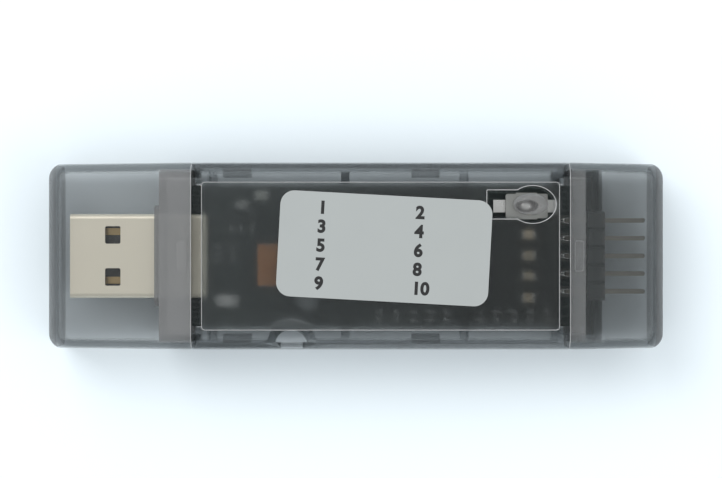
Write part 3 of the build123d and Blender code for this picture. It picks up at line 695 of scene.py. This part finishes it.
# a thin plate from the port's outline out to the panel's: each direction from the port's centre
# has an inner reach, that of the port, and an outer reach, that of the panel
def frostedSurface():
    low = (panelStart / millimetre - portX, -panelHalf / millimetre - portY)
    high = (panelEnd / millimetre - portX, panelHalf / millimetre - portY)
    rim = keyPort["rim"]
    slotCorner = math.atan2(keyPort["slotHalf"] + rim, -keyPort["slotLength"] - rim)
    corners = [math.atan2(side, end) for side in (low[1], high[1]) for end in (low[0], high[0])]
    corners += [slotCorner, -slotCorner]
    direction = np.sort(np.concatenate([roundDirections(frost["across"]), corners]))
    inner = portReach(direction, rim)
    outer = boxReach(direction, low, high)
    rings = []
    for reach, depth in (
        (inner, frost["low"]), (outer, frost["low"]), (outer, frost["high"]), (inner, frost["high"])
    ):
        x, y = portX + reach * np.cos(direction), portY + reach * np.sin(direction)
        rings.append(np.stack([x, y, panelTop / millimetre - depth + 0 * reach], -1))
    rings = np.stack(rings) * millimetre
    index = np.arange(rings.shape[0] * rings.shape[1]).reshape(rings.shape[:2])
    above, beside = np.roll(index, -1, axis=0), np.roll(index, -1, axis=1)
    quads = np.stack([index, above, np.roll(above, -1, axis=1), beside], axis=-1)
    return rings.reshape(-1, 3), quads.reshape(-1, 4)


addPiece("frostedSkin", *frostedSurface(), frostedFinish(), "case", "case_smoke", False)


portHighlight = {"grow": 0.38, "along": 260, "radius": 0.05}


# the port's painted highlight: a pale bead on the port's rim, on the same outline as the skin's
# hole, with the outward direction from its tangent
def portHighlightSurface():
    direction = roundDirections(portHighlight["along"])
    reach = portReach(direction, portHighlight["grow"])
    lift = np.zeros(len(direction))
    x, y = portX + reach * np.cos(direction), portY + reach * np.sin(direction)
    path = np.stack([x, y, lift + panelTop / millimetre], -1)
    tangent = np.roll(path, -1, axis=0) - np.roll(path, 1, axis=0)
    outward = np.stack([tangent[:, 1], -tangent[:, 0], lift], -1)
    outward /= np.linalg.norm(outward, axis=1, keepdims=True)
    return beadSurface(path, outward, (0, 0, 1), portHighlight["radius"])


addPiece("portHighlight", *portHighlightSurface(), highlightFinish, "case", "case_smoke")
print("frosted skin and port lip built")

numbers = {
    "columns": (("1", "3", "5", "7", "9"), ("2", "4", "6", "8", "10")),
    "columnX": (-9.6, 4.2),
    "firstRow": 5.35,
    "rowPitch": 2.68,
    "size": 2.45,
    "drop": 0.35,
    "weight": 0.11,
    "height": 0.012,
    "tilt": -3.1,
}


# each number is an outline swelled by weight and filled, pressed flat to height, then moved to
# its row and turned with the label
def labelNumbers():
    centre = (labelLow + labelHigh) / 2 / millimetre
    tilt = math.radians(numbers["tilt"])
    turn = np.array([[math.cos(tilt), -math.sin(tilt)], [math.sin(tilt), math.cos(tilt)]])
    points, faces = [], []
    for column, startX in zip(numbers["columns"], numbers["columnX"]):
        for row, words in enumerate(column):
            curve = bpy.data.curves.new("number", "FONT")
            curve.body = words
            curve.size = numbers["size"]
            curve.bevel_depth = numbers["weight"]
            curve.bevel_resolution = 0
            curve.resolution_u = 8
            source = bpy.data.objects.new("number", curve)
            mesh = bpy.data.meshes.new_from_object(source)
            corners = np.empty(len(mesh.vertices) * 3)
            mesh.vertices.foreach_get("co", corners)
            corners = corners.reshape(-1, 3)
            corners[:, 0] += startX
            corners[:, 1] += numbers["firstRow"] - row * numbers["rowPitch"]
            corners[:, 1] -= numbers["drop"] * numbers["size"]
            corners[:, :2] = corners[:, :2] @ turn.T + centre[:2]
            lift = corners[:, 2] / numbers["weight"] * numbers["height"]
            corners[:, 2] = labelHigh[2] / millimetre + lift
            shift = sum(len(block) for block in points)
            faces += [[corner + shift for corner in polygon.vertices] for polygon in mesh.polygons]
            points.append(corners * millimetre)
            bpy.data.objects.remove(source)
            bpy.data.meshes.remove(mesh)
            bpy.data.curves.remove(curve)
    return np.concatenate(points), faces


ink = mouldedPart("printedInk", grey(0.004), grey(0.008), 0.4)
addPiece("labelNumbers", *labelNumbers(), ink, "case", "black_moulding", False)
print("numbers printed")


# ---- the stage

stage = {"size": 3.0, "floor": (0.82, 0.89, 0.93, 1.0), "drift": (0.80, 0.875, 0.92, 1.0)}


# a pale floor whose colour drifts very slightly
def buildFloor():
    half = stage["size"] / 2
    corners = np.array([[-half, -half, 0], [half, -half, 0], [half, half, 0], [-half, half, 0]])
    mesh = bpy.data.meshes.new("floor")
    mesh.from_pydata(corners.tolist(), [], [[0, 1, 2, 3]])
    floor = bpy.data.objects.new("floor", mesh)
    bpy.context.scene.collection.objects.link(floor)
    finish = Finish("floorPaint")
    drift = finish.noise(6.0, 2.0)
    values = {
        "Base Color": finish.blend(drift, stage["floor"], stage["drift"]),
        "Roughness": 0.8 + drift * 0.1,
    }
    mesh.materials.append(finish.close(values))


sky = {"colour": (0.95, 0.98, 1.0, 1.0), "strength": 0.80}


# an even pale sky all round
def buildWorld():
    world = bpy.data.worlds.new("sky")
    bpy.context.scene.world = world
    world.use_nodes = True
    background = world.node_tree.nodes["Background"]
    background.inputs["Color"].default_value = sky["colour"]
    background.inputs["Strength"].default_value = sky["strength"]


softboxes = {
    "key": {"place": (-0.35, 0.42, 0.55), "size": 0.5, "power": 3.2},
    "fill": {"place": (0.50, -0.25, 0.50), "size": 0.5, "power": 1.6},
}


# each lamp is turned so that its face looks at the origin
def buildLights():
    for name, box in softboxes.items():
        lamp = bpy.data.lights.new(name, "AREA")
        lamp.shape = "SQUARE"
        lamp.size = box["size"]
        lamp.energy = box["power"]
        holder = bpy.data.objects.new(name, lamp)
        bpy.context.scene.collection.objects.link(holder)
        holder.location = box["place"]
        aim = -np.array(box["place"])
        flat = math.hypot(aim[0], aim[1])
        turn = math.atan2(aim[1], aim[0]) - math.pi / 2
        holder.rotation_euler = (math.atan2(flat, -aim[2]), 0, turn)


lens = {"centre": (0.715, 2.42), "height": 345.0, "focal": 121.8, "sensor": 36.0, "near": 0.01}


# the camera looks straight down at the label
def buildCamera():
    camera = bpy.data.cameras.new("camera")
    camera.lens = lens["focal"]
    camera.sensor_width = lens["sensor"]
    camera.clip_start = lens["near"]
    holder = bpy.data.objects.new("camera", camera)
    bpy.context.scene.collection.objects.link(holder)
    x, y = lens["centre"]
    holder.location = (x * millimetre, y * millimetre, caseTop + lens["height"] * millimetre)
    bpy.context.scene.camera = holder


buildCamera()
buildFloor()
buildWorld()
buildLights()
bpy.context.scene.view_settings.view_transform = "Standard"
print("stage built")
